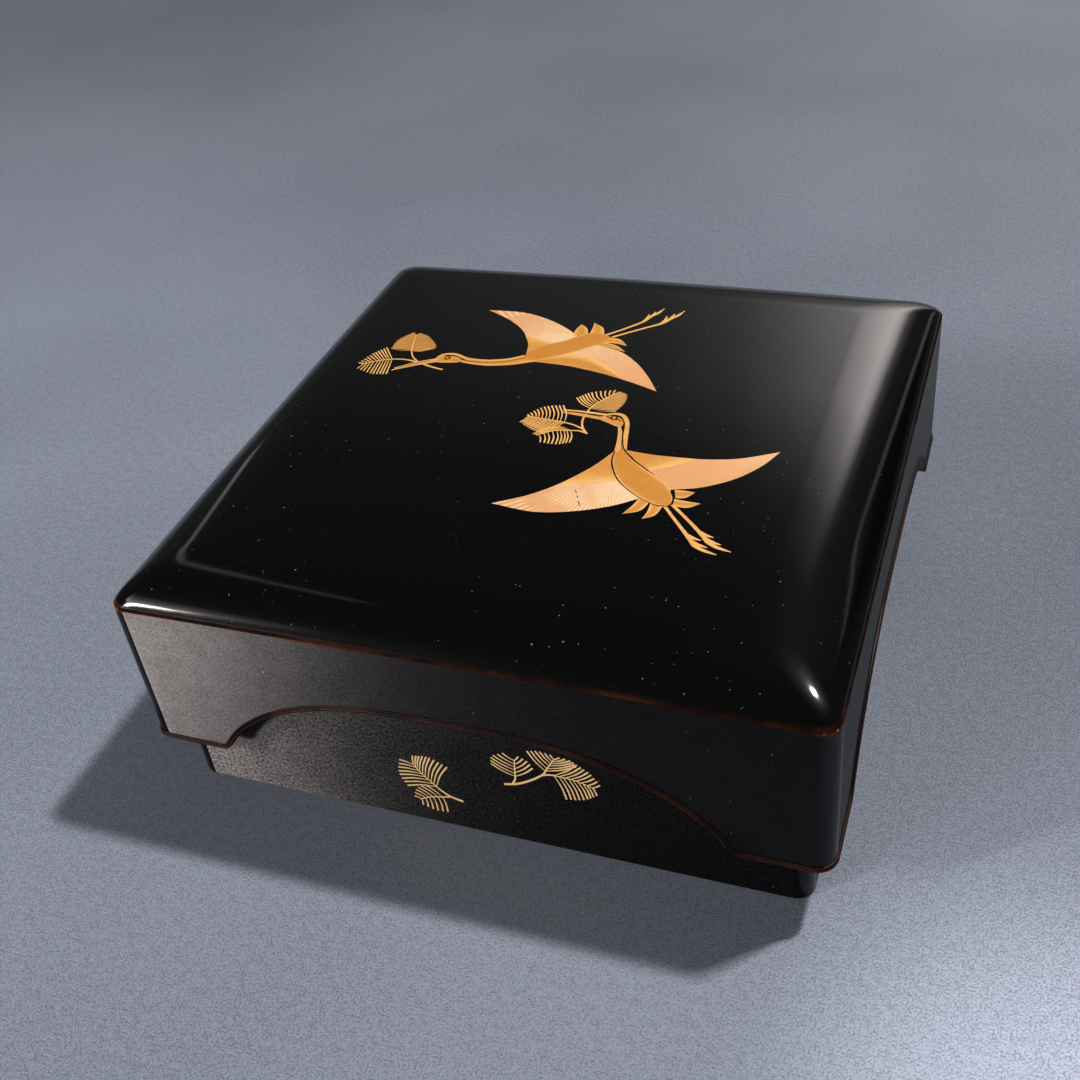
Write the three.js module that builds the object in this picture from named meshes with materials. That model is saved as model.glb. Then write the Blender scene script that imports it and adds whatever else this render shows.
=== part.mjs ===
// A square lacquer box with a lift-off lid that overhangs the box on all four sides.
// Units are millimetres, +Z is up, +X runs along the front and +Y to the back.
// The origin is the middle of the footprint, on the surface that the box stands on.

import * as THREE from 'three';

// Driving dimensions of the box that holds the contents
const bodyHeight = 52.2;
const bodyWall = 3.2;
const bodyFloor = 4;
const bodyCornerRadius = 4;
const bodyFloorFillet = 1.6;
const bodyRimRound = 0.8;
const bodyFootRound = 0.5;

// Driving dimensions of the lid
const lidWidth = 150;
const lidDepth = 150;
const lidWall = 3;
const lidPlate = 4;
const lidCornerRadius = 4;
const lidWallDrop = 37;
const arrisAboveCeiling = 0.3;
const arrisRise = 0.7;
const shoulderWidth = 18;
const shoulderRise = 7;
const shoulderRoundness = 1.7;
const domeRise = 2;
const innerCornerRadius = 1;

// Arched finger holds in the lid's four walls, between feet at the corners
const footLength = 19.5;
const archRise = 21;
const archFullness = 3;
const archShoulder = 0.8;

// Raised half-round bead along the lid's lower edge
const beadHeight = 1.4;
const beadProud = 0.45;

// Clearances
const sideClearance = 1.5;
const restGap = 0.3;
const ledgeMargin = 1;

// Steps of the faceted curves
const cornerSteps = 5;
const beadSteps = 4;
const shoulderSteps = 9;
const filletSteps = 3;
const archShares = [0.985, 0.96, 0.92, 0.86, 0.78, 0.68, 0.56, 0.42, 0.28, 0.14];
const topShares = [0.35, 0.7];

// Sizes that follow from the driving dimensions
const ceilingHeight = bodyHeight + restGap;
const arrisHeight = ceilingHeight + arrisAboveCeiling;
const footHeight = arrisHeight - lidWallDrop;
const bodyInset = lidWall + sideClearance;
const ledgeEnd = bodyInset + bodyWall + ledgeMargin;
const domeStart = Math.min(lidWidth, lidDepth) / 2;

// The four sides, anticlockwise from the front: each has a direction along it and one out of it
const sides = [0, 1, 2, 3].map((turn) => {
  const angle = (turn * Math.PI) / 2;
  const facesFront = turn % 2 === 0;
  return {
    along: new THREE.Vector3(Math.round(Math.cos(angle)), Math.round(Math.sin(angle)), 0),
    out: new THREE.Vector3(Math.round(Math.sin(angle)), Math.round(-Math.cos(angle)), 0),
    halfLength: (facesFront ? lidWidth : lidDepth) / 2,
    halfReach: (facesFront ? lidDepth : lidWidth) / 2,
  };
});

// Height of an arch over the feet, at a distance from the middle of its side
function archHeight(distance, side) {
  const share = Math.abs(distance) / (side.halfLength - footLength);
  return share < 1 ? archRise * (1 - share ** archFullness) ** archShoulder : 0;
}

// Upward normal of the lower edge, in the plane of the wall: x along the side, y up
function edgeNormal(distance, side) {
  const reach = beadHeight / 2;
  const climb = archHeight(distance + reach, side) - archHeight(distance - reach, side);
  return new THREE.Vector2(-climb, 2 * reach).normalize();
}

// Stations round an outline: along each side from corner to corner, then round the corner.
// A station on a side keeps its distance from the middle as a share of the straight length.
function stations(sharesOfSide) {
  return sides.flatMap((side) => {
    const straight = sharesOfSide(side).map((share) => ({ side, share, turn: 0 }));
    const corner = [];
    for (let step = 1; step < cornerSteps; step += 1) {
      corner.push({ side, share: 1, turn: (step / cornerSteps) * (Math.PI / 2) });
    }
    return [...straight, ...corner];
  });
}

// Point of a rounded rectangle at a station. The outline is inset from the lid's own outline,
// and shift moves the point along its side.
function outlinePoint(station, inset, radius, shift = 0) {
  const { side, share, turn } = station;
  const straight = side.halfLength - inset - radius;
  const reach = side.halfReach - inset - radius;
  return new THREE.Vector3()
    .addScaledVector(side.along, share * straight + radius * Math.sin(turn) + shift)
    .addScaledVector(side.out, reach + radius * Math.cos(turn));
}

// Corner radius of the lid's outline after an inset
function lidRadius(inset) {
  return Math.max(lidCornerRadius - inset, innerCornerRadius);
}

// Height of the lid's outer top at a point, with its inset from the wall
function topHeight(point, inset) {
  const across = (2 * point.x) / lidWidth;
  const along = (2 * point.y) / lidDepth;
  const rest = 1 - Math.min(inset / shoulderWidth, 1);
  const shoulder = (1 - rest ** shoulderRoundness) ** (1 / shoulderRoundness);
  const edgeBow = (1 - across ** 2) * along ** 2 + (1 - along ** 2) * across ** 2;
  const dome = (1 - across ** 2) * (1 - along ** 2);
  return arrisHeight + shoulderRise * shoulder + arrisRise * edgeBow + domeRise * dome;
}

// Closed skin through rings of points that run anticlockwise seen from above, closed at each end
function closedSkin(rings, firstPole, lastPole) {
  const count = rings[0].length;
  const points = [firstPole, ...rings.flat(), lastPole];
  const index = [];
  const at = (ring, station) => 1 + ring * count + (station % count);
  for (let station = 0; station < count; station += 1) {
    index.push(0, at(0, station + 1), at(0, station));
    for (let ring = 0; ring + 1 < rings.length; ring += 1) {
      const [a, b] = [at(ring, station), at(ring, station + 1)];
      const [c, d] = [at(ring + 1, station + 1), at(ring + 1, station)];
      index.push(a, b, c, a, c, d);
    }
    index.push(at(rings.length - 1, station), at(rings.length - 1, station + 1), points.length - 1);
  }
  const geometry = new THREE.BufferGeometry().setFromPoints(points);
  geometry.setIndex(index);
  geometry.computeVertexNormals();
  return geometry;
}

// The lid: a domed plate with broad soft shoulders, a crisp arris and four arched walls
function lidGeometry() {
  const round = stations((side) => {
    const straight = side.halfLength - lidCornerRadius;
    const archHalf = side.halfLength - footLength;
    const half = [1, ...[1, ...archShares].map((share) => (share * archHalf) / straight)];
    return [...half.map((share) => -share), 0, ...half.reverse()];
  });

  const flatRing = (inset, height) => round.map((station) =>
    outlinePoint(station, inset, lidRadius(inset)).setZ(height));

  const ceilingRing = (inset) => flatRing(inset, 0).map((point) =>
    point.setZ(Math.max(topHeight(point, inset) - lidPlate, ceilingHeight)));

  const topRing = (inset) => flatRing(inset, 0).map((point) =>
    point.setZ(topHeight(point, inset)));

  // A ring that follows the lower edge at a height over it, measured square to that edge
  const edgeRing = (proud, up) => round.map((station) => {
    const { side, share, turn } = station;
    const distance = share * (side.halfLength - lidCornerRadius);
    const onSide = turn === 0 && Math.abs(share) < 1;
    const normal = onSide ? edgeNormal(distance, side) : new THREE.Vector2(0, 1);
    const arch = onSide ? archHeight(distance, side) : 0;
    const point = outlinePoint(station, -proud, lidRadius(-proud), up * normal.x);
    return point.setZ(footHeight + arch + up * normal.y);
  });

  const beadRings = [];
  for (let step = 0; step <= beadSteps; step += 1) {
    const angle = (step / beadSteps - 0.5) * Math.PI;
    beadRings.push(edgeRing(beadProud * Math.cos(angle), (beadHeight / 2) * (1 + Math.sin(angle))));
  }

  const shoulderRings = [];
  for (let step = 0; step <= shoulderSteps; step += 1) {
    shoulderRings.push(topRing(shoulderWidth * (1 - Math.cos((step / shoulderSteps) * (Math.PI / 2)))));
  }

  const innerInsets = topShares.map((share) => shoulderWidth + share * (domeStart - shoulderWidth));
  const plateTop = new THREE.Vector3(0, 0, topHeight(new THREE.Vector3(), domeStart));
  const rings = [
    ...[...innerInsets].reverse().map(ceilingRing),
    ceilingRing(shoulderWidth),
    ceilingRing((ledgeEnd + shoulderWidth) / 2),
    flatRing(ledgeEnd, ceilingHeight),
    flatRing(lidWall, ceilingHeight),
    edgeRing(-lidWall, 0),
    ...beadRings,
    ...shoulderRings,
    ...innerInsets.map(topRing),
  ];
  return closedSkin(rings, plateTop.clone().setZ(plateTop.z - lidPlate), plateTop);
}

// The box: a flat floor and four walls, open at the top, with rounded rim and inner edges
function bodyGeometry() {
  const round = stations(() => [-1, 1]);
  const ring = (wallInset, height) => round.map((station) =>
    outlinePoint(station, bodyInset + wallInset, Math.max(bodyCornerRadius - wallInset, innerCornerRadius))
      .setZ(height));

  // Quarter round as rings, from its start angle on, about a centre in the wall's section
  const quarter = (inset, height, radius, startAngle, turn) => {
    const rings = [];
    for (let step = 0; step <= filletSteps; step += 1) {
      const angle = startAngle + turn * (step / filletSteps) * (Math.PI / 2);
      rings.push(ring(inset + radius * Math.cos(angle), height + radius * Math.sin(angle)));
    }
    return rings;
  };

  const rings = [
    ...quarter(bodyFootRound, bodyFootRound, bodyFootRound, -Math.PI / 2, -1),
    ...quarter(bodyRimRound, bodyHeight - bodyRimRound, bodyRimRound, Math.PI, -1),
    ...quarter(bodyWall - bodyRimRound, bodyHeight - bodyRimRound, bodyRimRound, Math.PI / 2, -1),
    ...quarter(bodyWall + bodyFloorFillet, bodyFloor + bodyFloorFillet, bodyFloorFillet, Math.PI, 1),
  ];
  return closedSkin(rings, new THREE.Vector3(), new THREE.Vector3(0, 0, bodyFloor));
}

function piece(name, geometry, material) {
  const mesh = new THREE.Mesh(geometry, material);
  mesh.name = name;
  return mesh;
}

const lidLacquer = new THREE.MeshStandardMaterial({ color: 0x0a0807, roughness: 0.08, metalness: 0 });
const boxLacquer = new THREE.MeshStandardMaterial({ color: 0x0c0a09, roughness: 0.12, metalness: 0 });

const lacquerBox = new THREE.Group();
lacquerBox.add(piece('lid', lidGeometry(), lidLacquer));
lacquerBox.add(piece('box', bodyGeometry(), boxLacquer));

export default lacquerBox;
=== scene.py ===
# The looks of a square black lacquer box with a picture in gold and pearl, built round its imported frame.
# Everything is in metres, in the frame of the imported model: +Z up, the front towards -Y.

import math

import bmesh
import bpy
from mathutils import Matrix, Vector


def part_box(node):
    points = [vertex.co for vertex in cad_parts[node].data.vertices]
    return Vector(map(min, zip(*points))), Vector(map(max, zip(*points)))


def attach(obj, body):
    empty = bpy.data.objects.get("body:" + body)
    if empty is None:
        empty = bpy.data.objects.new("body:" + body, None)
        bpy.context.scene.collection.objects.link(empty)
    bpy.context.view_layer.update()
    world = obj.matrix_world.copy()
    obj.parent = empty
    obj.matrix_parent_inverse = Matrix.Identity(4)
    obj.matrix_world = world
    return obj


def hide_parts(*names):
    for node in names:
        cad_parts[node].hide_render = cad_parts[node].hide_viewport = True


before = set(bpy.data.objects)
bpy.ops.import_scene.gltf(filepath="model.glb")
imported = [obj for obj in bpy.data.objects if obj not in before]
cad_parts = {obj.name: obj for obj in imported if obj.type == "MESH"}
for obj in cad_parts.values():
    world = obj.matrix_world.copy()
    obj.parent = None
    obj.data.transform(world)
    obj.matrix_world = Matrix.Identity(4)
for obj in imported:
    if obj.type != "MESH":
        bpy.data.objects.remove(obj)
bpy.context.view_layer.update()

lid_low, lid_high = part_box("lid")
box_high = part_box("box")[1]

MM = 0.001

# The lid's outline, wall and rim bead
BEAD_PROUD = 0.45 * MM
BEAD_HEIGHT = 1.4 * MM
UPPER_BEAD_PROUD = 0.32 * MM
LOWER_BEAD_HEIGHT = 0.85 * MM
LID_HALF = lid_high.x - BEAD_PROUD
LID_WALL = 3 * MM
LID_CORNER = 4 * MM
LID_FOOT = lid_low.z

# The lid's top: an arris, a broad shoulder and a low dome
SHOULDER_WIDTH = 18 * MM
SHOULDER_RISE = 7 * MM
SHOULDER_ROUNDNESS = 1.7
SHOULDER_START = 0.006
FRAME_DOME_RISE = 2 * MM
PICTURE_ROOM = 0.1 * MM
DOME_RISE = FRAME_DOME_RISE - PICTURE_ROOM
ARRIS_BOW = 0.7 * MM
ARRIS_HEIGHT = lid_high.z - SHOULDER_RISE - FRAME_DOME_RISE
LID_PLATE = 4 * MM
CEILING_HEIGHT = ARRIS_HEIGHT - 0.3 * MM
CEILING_LEDGE = 8.7 * MM

# The arches between the lid's feet
ARCH_HALF = 55.5 * MM
ARCH_RISE = 21 * MM
ARCH_FULLNESS = 3
ARCH_SHOULDER = 0.8
ARCH_END_ROUND = 1.1 * MM
ARCH_END_ZONE = 4 * MM

# The box under the lid
BOX_HALF = box_high.x
BOX_HEIGHT = box_high.z
BOX_WALL = 3.2 * MM
BOX_FLOOR = 4 * MM
BOX_CORNER = 4 * MM
BOX_RIM_ROUND = 0.8 * MM
BOX_FOOT_ROUND = 0.5 * MM
BOX_FLOOR_FILLET = 0.7 * MM

# How finely the curves are divided, and the bend that is a crease
CORNER_STEPS = 12
SIDE_CUTS = 79
ARCH_END_CUTS = 2
SHOULDER_RINGS = 30
BEAD_STEPS = 6
EDGE_STEPS = 4
SHELL_CREASE = math.radians(32)
FILM_CREASE = math.radians(40)

# How far the brown wear reaches from an edge
WEAR_REACH = 0.5 * MM
CORNER_WEAR = 8 * MM
BEAD_WEAR = 0.6
# Wear past 1 at the corners also places painted amber highlights
MORE_AT_CORNERS = 0.6
ARRIS_MATT = 0.4 * MM
WORN = "worn"

# How near two places are when they count as one
NEAR = 0.01 * MM
VERY_NEAR = 0.002 * MM
ROUGHLY_NEAR = 0.05 * MM


# Modelling

def add_object(name, data):
    made = bpy.data.objects.new(name, data)
    bpy.context.scene.collection.objects.link(made)
    return made


def clear_selection():
    """Nothing is selected, so that an operator acts on what comes next alone."""
    if bpy.context.object and bpy.context.object.mode != "OBJECT":
        bpy.ops.object.mode_set(mode="OBJECT")
    bpy.ops.object.select_all(action="DESELECT")


def pick_edges(piece, chosen):
    """Selects those edges of a piece in edit mode for which chosen is true."""
    bpy.ops.mesh.select_mode(type="EDGE")
    bpy.ops.mesh.select_all(action="DESELECT")
    mesh = bmesh.from_edit_mesh(piece.data)
    for edge in mesh.edges:
        edge.select_set(chosen(edge))
    mesh.select_flush_mode()
    bmesh.update_edit_mesh(piece.data)


def rounded_square(name, half, corner, height):
    """A flat square sheet with round corners, left in edit mode."""
    clear_selection()
    bpy.ops.mesh.primitive_plane_add(size=2 * half, location=(0, 0, height))
    bpy.ops.object.transform_apply(location=True, rotation=True, scale=True)
    piece = bpy.context.object
    piece.name = name
    piece.data.name = name
    bpy.ops.object.mode_set(mode="EDIT")
    bpy.ops.mesh.select_all(action="SELECT")
    bpy.ops.mesh.bevel(offset=corner, segments=CORNER_STEPS, affect="VERTICES")
    return piece


def finish_shell():
    """Points the faces of the shell in edit mode outwards, leaves edit mode and shades the curves smooth."""
    bpy.ops.mesh.select_all(action="SELECT")
    bpy.ops.mesh.normals_make_consistent(inside=False)
    bpy.ops.object.mode_set(mode="OBJECT")
    bpy.ops.object.shade_smooth_by_angle(angle=SHELL_CREASE, keep_sharp_edges=True)


# The lid

def inside_of(x, y, half, corner):
    """How far a point of the plan lies inside a square with round corners, or less than 0 outside it."""
    across, along = abs(x) - half, abs(y) - half
    if min(across, along) > -corner:
        return corner - math.hypot(across + corner, along + corner)
    return -max(across, along)


def profile(share):
    """The shoulder's curve: upright where it starts at 0, and level where it ends at 1."""
    return (1 - (1 - share) ** SHOULDER_ROUNDNESS) ** (1 / SHOULDER_ROUNDNESS)


def shoulder(share):
    """Rise of the shoulder, from 0 at the arris to 1 where the dome begins."""
    start = profile(SHOULDER_START)
    here = profile(SHOULDER_START + min(share, 1) * (1 - SHOULDER_START))
    return (here - start) / (1 - start)


def inset_from_wall(x, y):
    """How far a point of the plan lies inside the lid's outline, with soft mitres in from its corners."""
    across, along = abs(x) - LID_HALF, abs(y) - LID_HALF
    lean = across - along
    if abs(lean) < LID_CORNER:
        return max((math.sqrt(2 * LID_CORNER**2 - lean**2) - across - along) / 2 - LID_CORNER, 0)
    return max(-max(across, along), 0)


def arris_height(x, y):
    """Height of the arris, a little higher at the middle of each side, carried on over the plan."""
    across, along = x / LID_HALF, y / LID_HALF
    return ARRIS_HEIGHT + ARRIS_BOW * ((1 - across**2) * along**2 + (1 - along**2) * across**2)


def top_height(x, y):
    """Height of the lid's outer top at a point of the plan."""
    rise = SHOULDER_RISE * shoulder(inset_from_wall(x, y) / SHOULDER_WIDTH)
    dome = DOME_RISE * (1 - (x / LID_HALF) ** 2) * (1 - (y / LID_HALF) ** 2)
    return arris_height(x, y) + rise + dome


def ceiling_height(x, y):
    return max(top_height(x, y) - LID_PLATE, CEILING_HEIGHT)


def sharp_arch(distance):
    share = min(abs(distance) / ARCH_HALF, 1)
    return ARCH_RISE * (1 - share**ARCH_FULLNESS) ** ARCH_SHOULDER


def arch_height(distance):
    """Height of the lid's lower edge over its feet, with the ends of the arch rounded."""
    offsets = [ARCH_END_ROUND * step / 2 for step in range(-2, 3)]
    return sum(sharp_arch(distance + offset) for offset in offsets) / len(offsets)


def outline_frame(point):
    """The directions along and out of the outline at one of its points, and how far along its side it is."""
    corner = LID_HALF - LID_CORNER
    if min(abs(point.x), abs(point.y)) > corner - NEAR:
        centre = Vector((math.copysign(corner, point.x), math.copysign(corner, point.y), 0))
        out = (Vector((point.x, point.y, 0)) - centre).normalized()
        return None, Vector((-out.y, out.x, 0)), out
    if abs(point.x) > abs(point.y):
        return point.y, Vector((0, 1, 0)), Vector((math.copysign(1, point.x), 0, 0))
    return point.x, Vector((1, 0, 0)), Vector((0, math.copysign(1, point.y), 0))


def by_the_edge(point, outward, upward):
    """A place by the lower edge, from the outline's point: out of the wall, and upward square to the edge."""
    distance, along, out = outline_frame(point)
    slope, arch = 0, 0
    if distance is not None:
        reach = BEAD_HEIGHT / 2
        slope = (arch_height(distance + reach) - arch_height(distance - reach)) / (2 * reach)
        arch = arch_height(distance)
    steep = math.hypot(1, slope)
    place = Vector((point.x, point.y, LID_FOOT + arch + upward / steep))
    return place + out * outward - along * (slope / steep * upward)


def on_the_wall(point, outward, height):
    """A place on the wall, from the outline's point."""
    return Vector((point.x, point.y, height)) + outline_frame(point)[2] * outward


def on_the_plan(point, inset, height):
    """A place inside the outline, at the height that a function gives there."""
    scale = (LID_HALF - inset) / LID_HALF
    x, y = point.x * scale, point.y * scale
    return Vector((x, y, height(x, y)))


def put_selected(piece, place):
    """Puts each selected point where place says, from where it is and from its point of the outline."""
    mesh = bmesh.from_edit_mesh(piece.data)
    outline = mesh.verts.layers.float_vector["outline"]
    for vertex in mesh.verts:
        if vertex.select:
            vertex.co = place(vertex.co, vertex[outline])
    bmesh.update_edit_mesh(piece.data)


def draw_ring(piece, place):
    """Extrudes the selected loop, and puts each new point where place says from its point of the outline."""
    bpy.ops.mesh.extrude_edges_move()
    put_selected(piece, lambda here, home: place(home))


def close_with_grid(piece, height):
    """Fills the selected loop with a grid, laid at the height that a function gives."""
    loop = sum(vertex.select for vertex in bmesh.from_edit_mesh(piece.data).verts)
    bpy.ops.mesh.fill_grid(span=loop // 4, offset=CORNER_STEPS // 2)
    put_selected(piece, lambda here, home: Vector((here.x, here.y, height(here.x, here.y))))


def lid_outline(piece):
    """Divides the sheet's sides, more finely at the arches' ends, and leaves the bare outline selected."""
    pick_edges(piece, lambda edge: edge.calc_length() > LID_CORNER)
    bpy.ops.mesh.subdivide(number_cuts=SIDE_CUTS)

    def at_arch_end(edge):
        where = (edge.verts[0].co + edge.verts[1].co) / 2
        distance = min(abs(where.x), abs(where.y))
        return abs(distance - ARCH_HALF) < ARCH_END_ZONE and outline_frame(where)[0] is not None

    pick_edges(piece, at_arch_end)
    bpy.ops.mesh.subdivide(number_cuts=ARCH_END_CUTS)
    bpy.ops.mesh.select_mode(type="FACE")
    bpy.ops.mesh.select_all(action="SELECT")
    bpy.ops.mesh.delete(type="ONLY_FACE")
    mesh = bmesh.from_edit_mesh(piece.data)
    outline = mesh.verts.layers.float_vector.new("outline")
    for vertex in mesh.verts:
        vertex.co.z = arris_height(vertex.co.x, vertex.co.y)
        vertex[outline] = vertex.co
    bmesh.update_edit_mesh(piece.data)


def on_the_arris(edge):
    """True for an edge that lies along the arris, right round the lid."""
    return all(
        inset_from_wall(vertex.co.x, vertex.co.y) < VERY_NEAR
        and abs(vertex.co.z - arris_height(vertex.co.x, vertex.co.y)) < VERY_NEAR
        for vertex in edge.verts
    )


def make_lid():
    lid = rounded_square("lid_shell", LID_HALF, LID_CORNER, ARRIS_HEIGHT)
    lid_outline(lid)

    pick_edges(lid, lambda edge: True)
    for drop in (WEAR_REACH / 3, WEAR_REACH, 2 * WEAR_REACH):
        draw_ring(lid, lambda p, drop=drop: on_the_wall(p, 0, p.z - drop))
    draw_ring(lid, lambda p: by_the_edge(p, 0, BEAD_HEIGHT))
    bpy.ops.mesh.mark_sharp()
    rounds = (BEAD_HEIGHT, LOWER_BEAD_HEIGHT, UPPER_BEAD_PROUD), (LOWER_BEAD_HEIGHT, 0, BEAD_PROUD)
    for high, low, most_proud in rounds:
        for step in range(1, BEAD_STEPS + 1):
            angle = math.pi * (0.5 - step / BEAD_STEPS)
            proud, up = most_proud * math.cos(angle), (high + low + (high - low) * math.sin(angle)) / 2
            draw_ring(lid, lambda p, proud=proud, up=up: by_the_edge(p, proud, up))
    draw_ring(lid, lambda p: by_the_edge(p, -LID_WALL, 0))
    draw_ring(lid, lambda p: on_the_wall(p, -LID_WALL, CEILING_HEIGHT))
    draw_ring(lid, lambda p: on_the_plan(p, CEILING_LEDGE, lambda x, y: CEILING_HEIGHT))
    draw_ring(lid, lambda p: on_the_plan(p, SHOULDER_WIDTH, ceiling_height))
    close_with_grid(lid, ceiling_height)

    pick_edges(lid, on_the_arris)
    for ring in range(1, SHOULDER_RINGS + 1):
        inset = SHOULDER_WIDTH * (1 - math.cos(ring / SHOULDER_RINGS * math.pi / 2))
        draw_ring(lid, lambda p, inset=inset: on_the_plan(p, inset, top_height))
    close_with_grid(lid, top_height)

    pick_edges(lid, on_the_arris)
    bpy.ops.mesh.mark_sharp()
    finish_shell()
    mark_lid_wear(lid)
    return lid


def mark_lid_wear(lid):
    """Marks how worn the lid is: along the arris, most at its corners, and on the bead. Past 1, at the
    corners, it also places painted amber highlights.
    """
    mesh = lid.data
    worn = mesh.attributes.new(WORN, "FLOAT", "CORNER")
    outline = mesh.attributes["outline"]
    for face in mesh.polygons:
        on_bead = all(
            mesh.vertices[index].co.z < by_the_edge(outline.data[index].vector, 0, 0).z + 1.05 * BEAD_HEIGHT
            for index in face.vertices
        )
        for loop in face.loop_indices:
            index = mesh.loops[loop].vertex_index
            x, y, z = mesh.vertices[index].co
            home = outline.data[index].vector
            proud = -inside_of(x, y, LID_HALF, LID_CORNER) / BEAD_PROUD
            wear = min(2 * proud, BEAD_WEAR) if on_bead else 0
            if z > ARRIS_HEIGHT - 4 * WEAR_REACH:
                below = max(arris_height(home.x, home.y) - z, 0)
                at_corner = max((min(abs(x), abs(y)) - LID_HALF) / CORNER_WEAR + 1, 0)
                reach = WEAR_REACH * (1 + at_corner)
                wear = (1 - max(inset_from_wall(x, y), below) / reach) * (1 + MORE_AT_CORNERS * at_corner)
            worn.data[loop].value = max(wear, 0)
    mesh.attributes.remove(mesh.attributes["outline"])


# The box

def round_ring(box, inset, height, radius):
    """Rounds the edges of the box that run right round it at an inset and a height."""
    def chosen(edge):
        return all(
            abs(vertex.co.z - height) < NEAR
            and abs(inside_of(vertex.co.x, vertex.co.y, BOX_HALF, BOX_CORNER) - inset) < ROUGHLY_NEAR
            for vertex in edge.verts
        )

    pick_edges(box, chosen)
    bpy.ops.mesh.bevel(offset=radius, segments=EDGE_STEPS, affect="EDGES")


def make_box():
    box = rounded_square("box_shell", BOX_HALF, BOX_CORNER, 0)
    bpy.ops.mesh.select_all(action="SELECT")
    bpy.ops.mesh.extrude_region_move(TRANSFORM_OT_translate={"value": (0, 0, BOX_HEIGHT)})
    bpy.ops.mesh.inset(thickness=BOX_WALL)
    bpy.ops.mesh.extrude_region_move(TRANSFORM_OT_translate={"value": (0, 0, BOX_FLOOR - BOX_HEIGHT)})
    round_ring(box, 0, 0, BOX_FOOT_ROUND)
    round_ring(box, 0, BOX_HEIGHT, BOX_RIM_ROUND)
    round_ring(box, BOX_WALL, BOX_HEIGHT, BOX_RIM_ROUND)
    round_ring(box, BOX_WALL, BOX_FLOOR, BOX_FLOOR_FILLET)
    finish_shell()
    return box


# The picture: thin films of gold, pearl and dark lacquer that lie on the surface

# Heights over the lacquer, and how far a film goes into it
GOLD_LEVEL = 0.045 * MM
PEARL_LEVEL = 0.03 * MM
INK_LEVEL = 0.075 * MM
BODY_LIFT = 0.01 * MM
RIDGE_LIFT = 0.015 * MM
EYE_LIFT = 0.03 * MM
FILM_SINK = 0.03 * MM

# The picture itself is drawn in millimetres, not in metres
THINNEST_STROKE = 0.02
RIDGE_PALER = 0.12
DOT_STEPS = 24

# Rows and columns of the patches
WING_GRID = (48, 14)
BODY_GRID = (40, 16)
LEAD_GRID = (30, 8)
SMALL_GRID = (16, 6)

# What a film's points know, for its material
SHADE = "shade"
FAN = "fan"


def smooth_line(points, steps):
    """Evenly stepped points on a smooth line through a few given ones."""
    line = []
    for step in range(steps + 1):
        place = step / steps * (len(points) - 1)
        index = min(int(place), len(points) - 2)
        part = place - index
        a, b = Vector(points[index]), Vector(points[index + 1])
        before = Vector(points[index - 1]) if index > 0 else 2 * a - b
        after = Vector(points[index + 2]) if index + 2 < len(points) else 2 * b - a
        line.append(0.5 * (
            2 * a + (b - before) * part + (2 * before - 5 * a + 4 * b - after) * part**2
            + (3 * a - before - 3 * b + after) * part**3
        ))
    return line


def on_lid_top(x, y, level):
    return Vector((x, y, top_height(x, y) + level))


def on_box_front(x, z, level):
    return Vector((x, -BOX_HALF - level, z))


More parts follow.
